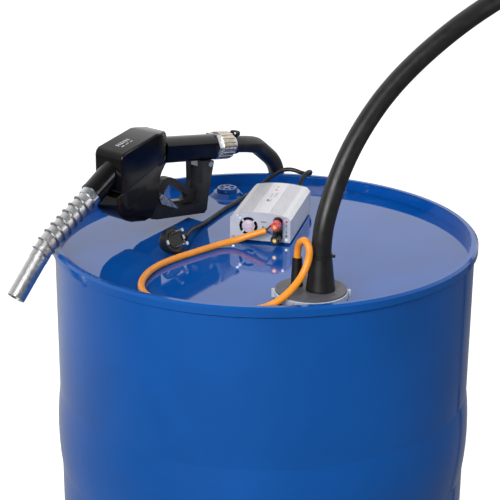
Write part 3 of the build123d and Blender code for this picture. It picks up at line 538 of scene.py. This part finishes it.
cover = link_mesh(
    "nozzle_top", narrowed(prism(COVER_OUTLINE, -COVER_HALF, COVER_HALF)), nozzle_side, "gloss_black",
    "nozzle",
)
round_edges(cover, COVER_ROUND)
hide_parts("nozzle_cover")
body = link_mesh(
    "nozzle_housing", narrowed(prism(BODY_OUTLINE, -BODY_HALF, BODY_HALF)), nozzle_side, "gloss_black",
    "nozzle",
)
round_edges(body, BODY_ROUND)
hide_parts("nozzle_body")

# ---------------------------------------------------------------- marks, without any lettering
# A mark is its middle and its size. On the supply its name comes first and its finish last.
COVER_FRONT, COVER_RIDGE = COVER_OUTLINE[3:5]
cover_rise = Vector((COVER_RIDGE[0] - COVER_FRONT[0], COVER_RIDGE[1] - COVER_FRONT[1], 0)).normalized()
cover_top = nozzle_side @ Matrix.Translation((*COVER_FRONT, 0)) @ Matrix((
    (cover_rise.x, 0, -cover_rise.y, 0), (cover_rise.y, 0, cover_rise.x, 0), (0, -1, 0, 0), (0, 0, 0, 1),
))


def add_print(name, outline, height, thick, place, finish, body_name):
    """A thin printed or moulded mark that stands just proud of its surface."""
    return link_mesh(name, prism(outline, height, height + thick), place, finish, body_name)


COVER_MARKS = (
    (13, 1, 1.6, 7), (17, 1, 1.6, 7), (21, 1, 1.6, 7), (25, 1, 1.6, 7), (29, 1, 1.6, 7), (33, 1, 1.6, 7),
    (15, -8, 5, 1.6), (23, -8, 5, 1.6), (31, -8, 5, 1.6),
)
for number, (along, across, wide, deep) in enumerate(COVER_MARKS):
    add_print(
        f"cover_mark_{number}", rounded(wide, deep, 0.4, along, across), 0.02, 0.15, cover_top,
        "bright_print", "nozzle",
    )

fan_middle = psu_front @ Matrix.Translation((*FAN_AT, 0))
link_mesh(
    "fan_label", turned(((0.01, 0.02), (7.2, 0.02), (7.4, 0.12), (7.2, 0.25), (0.01, 0.25))),
    fan_middle, "label", "drum",
)
for dot_name, dot_height, dot_finish in (("plus_dot", 30, "red_print"), ("minus_dot", 9.5, "print")):
    link_mesh(
        dot_name, turned(((0.01, 0.02), (1.5, 0.02), (1.6, 0.1), (1.5, 0.2), (0.01, 0.2)), 24),
        psu_front @ Matrix.Translation((79.5, dot_height, 0)), dot_finish, "drum",
    )

psu_top = axes((PSU_CORNER[0], PSU_CORNER[1], PSU_CORNER[2] + PSU_TALL), psu_across, (0, 0, 1))
TOP_MARKS = (
    ("mark_a", 42.5, 57, 6.5, 2.2, "print"), ("mark_b", 40.2, 62, 2.2, 6, "print"),
    ("mark_c", 44.4, 63, 1.6, 5, "pale_print"), ("mark_d", 41.0, 82, 1.3, 22, "pale_print"),
    ("mark_e", 45.6, 86, 0.9, 26, "pale_print"), ("mark_f", 48.0, 90, 0.9, 20, "pale_print"),
    ("mark_g", 42.0, 112, 3.4, 4.5, "red_print"), ("mark_h", 41.6, 127, 2.0, 3.0, "print"),
)
for name, across, back, wide, deep, finish in TOP_MARKS:
    outline = rounded(wide, deep, 0.4, across, back)
    add_print(name, outline, -0.15, 0.25, psu_top, finish, "drum")
FRONT_MARKS = (
    ("mark_power", 47.5, 27.5, 8, 1.2, "print"), ("mark_scale_a", 79.5, 24.5, 1.2, 3.2, "print"),
    ("mark_scale_b", 79.5, 19.5, 1.0, 2.6, "pale_print"), ("mark_scale_c", 79.5, 15, 1.2, 3.2, "print"),
)
for name, across, rise, wide, tall, finish in FRONT_MARKS:
    outline = rounded(wide, tall, 0.3, across, rise)
    add_print(name, outline, 0.02, 0.12, psu_front, finish, "drum")

# ---------------------------------------------------------------- light and floor
FLOOR_CORNERS = ((-14, -10, 0), (14, -10, 0), (14, 18, 0), (-14, 18, 0))
LIGHT_AIM = (0, 0, 0.8)
KEY_SPOT, KEY_SIZE, KEY_POWER = (-1.5, -3.2, 2.4), (2.2, 2.2), 140
SIDE_SPOT, SIDE_SIZE, SIDE_POWER = (2.8, -1.0, 2.2), (1.0, 1.6), 22


def ranged(tree, value, start, end, first, last):
    """A value taken from the range start to end into the range first to last."""
    made = tree.nodes.new("ShaderNodeMapRange")
    for key, number in (("From Min", start), ("From Max", end), ("To Min", first), ("To Max", last)):
        made.inputs[key].default_value = number
    tree.links.new(value, made.inputs["Value"])
    return made.outputs["Result"]


def add_floor():
    """A pale studio floor: white to the camera, and dim to the right and in front for every other ray."""
    made = bmesh.new()
    made.faces.new([made.verts.new(spot) for spot in FLOOR_CORNERS])
    data = bpy.data.meshes.new("studio_floor")
    made.to_mesh(data)
    made.free()
    floor = bpy.data.objects.new("studio_floor", data)
    bpy.context.scene.collection.objects.link(floor)
    recipe = Recipe("floor_paint")
    recipe.colour((0.93, 0.93, 0.93), 0.01, 3)
    recipe.roughness(0.8, 0.9, 4)
    recipe.set(Emission_Color=(1, 1, 1, 1), Emission_Strength=0.6)
    seen = recipe.shader
    unseen = recipe.node("ShaderNodeBsdfPrincipled")
    unseen.inputs["Base Color"].default_value = (0.10, 0.10, 0.105, 1)
    unseen.inputs["Roughness"].default_value = 0.9
    unseen.inputs["Emission Color"].default_value = (1, 1, 1, 1)
    apart = recipe.node("ShaderNodeSeparateXYZ")
    recipe.link(recipe.place, apart.inputs["Vector"])
    product = recipe.node("ShaderNodeMath", operation="MULTIPLY")
    recipe.link(ranged(recipe.tree, apart.outputs["Y"], -1.0, 1.5, 0.03, 0.8), product.inputs[0])
    recipe.link(ranged(recipe.tree, apart.outputs["X"], -2.0, 1.6, 0.75, 0.04), product.inputs[1])
    recipe.link(product.outputs["Value"], unseen.inputs["Emission Strength"])
    mix = recipe.node("ShaderNodeMixShader")
    recipe.link(recipe.node("ShaderNodeLightPath").outputs["Is Camera Ray"], mix.inputs["Fac"])
    recipe.link(unseen.outputs["BSDF"], mix.inputs[1])
    recipe.link(seen.outputs["BSDF"], mix.inputs[2])
    recipe.link(mix.outputs["Shader"], recipe.tree.nodes["Material Output"].inputs["Surface"])
    floor.data.materials.append(recipe.material)


def add_softbox(name, spot, size, power):
    """A rectangular soft light aimed at the drum's axis, a little under its head."""
    data = bpy.data.lights.new(name, "AREA")
    data.shape = "RECTANGLE"
    data.size, data.size_y = size
    data.energy = power
    light = bpy.data.objects.new(name, data)
    light.location = spot
    light.rotation_euler = (Vector(LIGHT_AIM) - Vector(spot)).to_track_quat("-Z", "Y").to_euler()
    bpy.context.scene.collection.objects.link(light)


def add_world():
    """A backdrop that is white to the camera; other rays find it white behind the drum and dim in front."""
    world = bpy.data.worlds.new("white_studio")
    world.use_nodes = True
    tree = world.node_tree
    apart = tree.nodes.new("ShaderNodeSeparateXYZ")
    tree.links.new(tree.nodes.new("ShaderNodeTexCoord").outputs["Generated"], apart.inputs["Vector"])
    brighter = tree.nodes.new("ShaderNodeMath")
    brighter.operation = "MAXIMUM"
    tree.links.new(ranged(tree, apart.outputs["Y"], -0.35, 0.55, 0.12, 1.0), brighter.inputs[0])
    tree.links.new(tree.nodes.new("ShaderNodeLightPath").outputs["Is Camera Ray"], brighter.inputs[1])
    tree.links.new(brighter.outputs["Value"], tree.nodes["Background"].inputs["Strength"])
    tree.nodes["Background"].inputs["Color"].default_value = (1, 1, 1, 1)
    bpy.context.scene.world = world


add_floor()
add_world()
add_softbox("key_light", KEY_SPOT, KEY_SIZE, KEY_POWER)
add_softbox("side_light", SIDE_SPOT, SIDE_SIZE, SIDE_POWER)
bpy.context.scene.view_settings.view_transform = "Standard"

bpy.context.view_layer.update()
